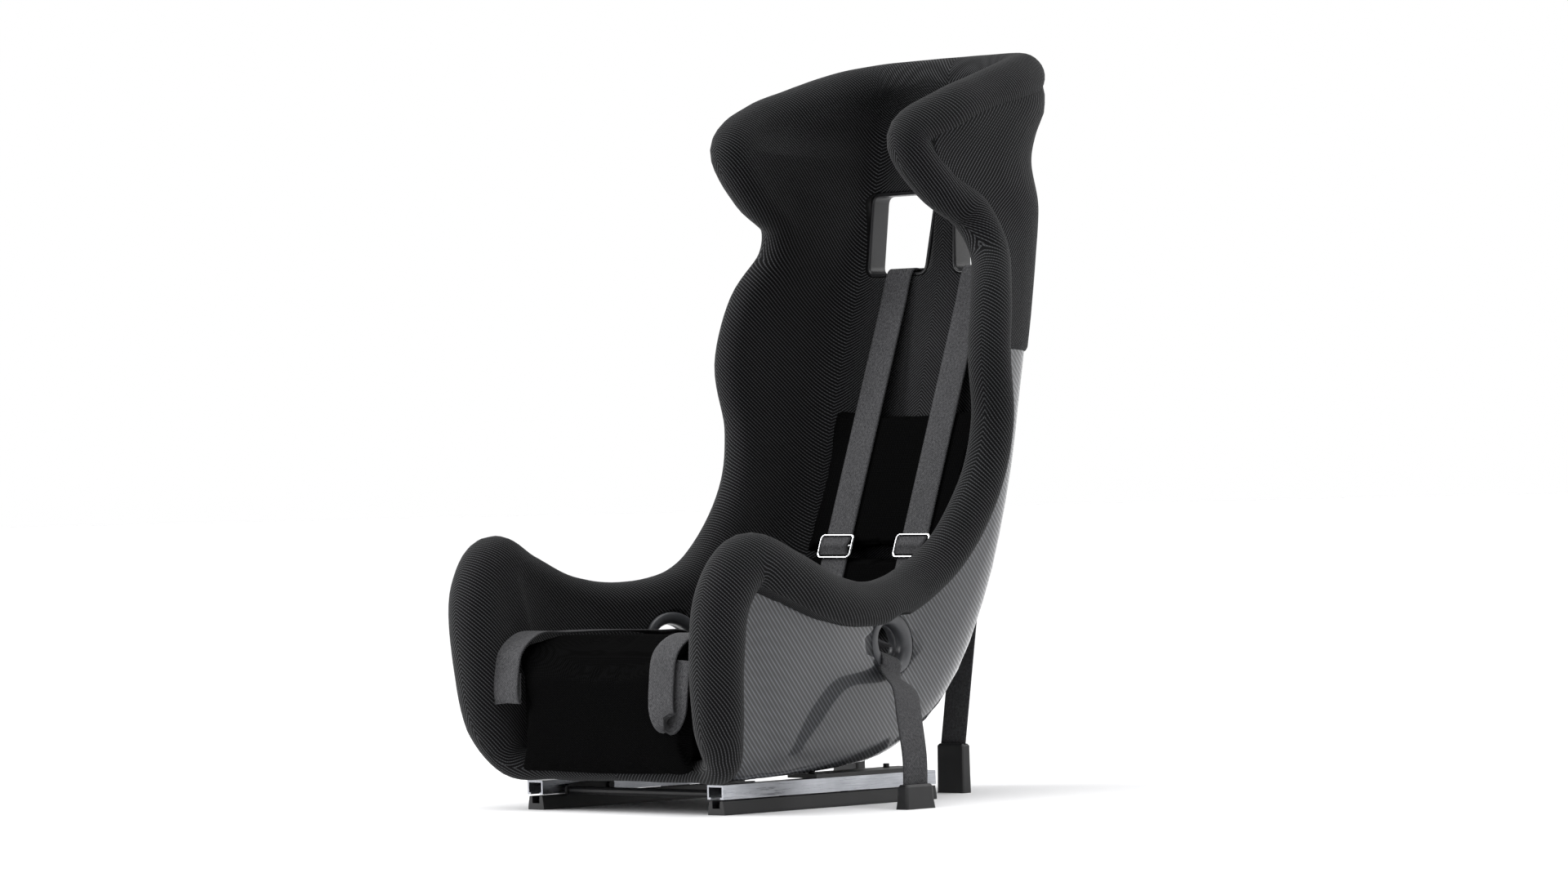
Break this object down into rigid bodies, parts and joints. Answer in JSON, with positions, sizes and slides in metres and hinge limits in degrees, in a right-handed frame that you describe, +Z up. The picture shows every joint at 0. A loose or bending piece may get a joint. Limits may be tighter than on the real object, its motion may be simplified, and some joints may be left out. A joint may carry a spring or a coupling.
{
  "type": "racing seat",
  "caption": "Bucket racing seat with a padded head surround on slide rails, with shoulder and lap harness belts routed through slots and side holes.",
  "frame": {"origin": "on the floor, midway between the rails, at the middle of the whole seat's depth", "axes": "+Z up, -Y the way the driver faces, +X the driver's left"},
  "size_m": [0.614, 0.7588, 0.951],
  "materials": {
    "twill_fabric": "dark twill upholstery cloth with a herringbone at the edges",
    "knit_fabric": "flame-resistant dark knit",
    "webbing": "woven polyester webbing, mid grey",
    "carbon_laminate": "clear-coated carbon and glass laminate",
    "black_steel": "black powder coat",
    "rail_metal": "satin silver-grey",
    "chrome_wire": "polished chrome",
    "black_plastic": "moulded grey-black"
  },
  "bodies": {
    "base": {"lower_rail_left": "black_steel", "lower_rail_right": "black_steel", "floor_bolt_front_left": "black_steel", "floor_bolt_front_right": "black_steel", "floor_bolt_rear_left": "black_steel", "floor_bolt_rear_right": "black_steel", "lap_anchor_left": "black_steel", "lap_anchor_right": "black_steel", "rear_anchor_left": "black_steel", "rear_anchor_right": "black_steel"},
    "seat": {"upholstery_cover": "twill_fabric", "head_cap_cover": "twill_fabric", "back_cushion": "knit_fabric", "hip_cushion": "knit_fabric", "seat_cushion": "knit_fabric", "shell": "carbon_laminate", "shoulder_belt_front_left": "webbing", "shoulder_belt_front_right": "webbing", "shoulder_belt_rear_left": "webbing", "shoulder_belt_rear_right": "webbing", "lap_belt_outer_left": "webbing", "lap_belt_outer_right": "webbing", "lap_belt_inner_left": "webbing", "lap_belt_inner_right": "webbing", "slot_bezel_left": "black_plastic", "slot_bezel_right": "black_plastic", "lap_grommet_outer_left": "black_plastic", "lap_grommet_outer_right": "black_plastic", "lap_grommet_inner_left": "black_plastic", "lap_grommet_inner_right": "black_plastic", "slider_front_left": "black_plastic", "slider_front_right": "black_plastic", "slider_rear_left": "black_plastic", "slider_rear_right": "black_plastic", "seat_bracket_left": "black_steel", "seat_bracket_right": "black_steel", "bracket_bolt_front_left": "black_steel", "bracket_bolt_front_right": "black_steel", "bracket_bolt_rear_left": "black_steel", "bracket_bolt_rear_right": "black_steel", "release_pin_left": "black_steel", "release_pin_right": "black_steel", "upper_rail_left": "rail_metal", "upper_rail_right": "rail_metal", "release_spring_left": "chrome_wire", "release_spring_right": "chrome_wire"},
    "release_bar": {"release_bar": "black_steel"},
    "front_adjuster_left": {"front_adjuster_left": "chrome_wire"},
    "rear_adjuster_left": {"rear_adjuster_left": "chrome_wire"},
    "front_adjuster_right": {"front_adjuster_right": "chrome_wire"},
    "rear_adjuster_right": {"rear_adjuster_right": "chrome_wire"}
  },
  "joints": [
    {"name": "seat_slide", "type": "slide", "parent": "base", "child": "seat", "axis": [0, 1, 0], "range_m": [-0.09, 0.06], "deforming": ["shoulder_belt_rear_left", "shoulder_belt_rear_right", "lap_belt_outer_left", "lap_belt_outer_right"]},
    {"name": "release_hinge", "type": "hinge", "parent": "seat", "child": "release_bar", "pos_m": [0, -0.196, 0.027], "axis": [-1, 0, 0], "range_deg": [0, 6], "stiffness_Nm_per_rad": 2, "springref_deg": -5.73},
    {"name": "front_adjuster_left_slide", "type": "slide", "parent": "seat", "child": "front_adjuster_left", "axis": [0, 0.345, 0.9386], "range_m": [-0.05, 0.2]},
    {"name": "rear_adjuster_left_follow", "type": "slide", "parent": "base", "child": "rear_adjuster_left", "axis": [0, 1, 0], "range_m": [-0.03335, 0.0224]},
    {"name": "front_adjuster_right_slide", "type": "slide", "parent": "seat", "child": "front_adjuster_right", "axis": [0, 0.345, 0.9386], "range_m": [-0.05, 0.2]},
    {"name": "rear_adjuster_right_follow", "type": "slide", "parent": "base", "child": "rear_adjuster_right", "axis": [0, 1, 0], "range_m": [-0.03335, 0.0224]}
  ],
  "couplings": [
    {"joint": "rear_adjuster_left_follow", "follows": "seat_slide", "ratio": 0.365},
    {"joint": "rear_adjuster_right_follow", "follows": "seat_slide", "ratio": 0.365}
  ]
}
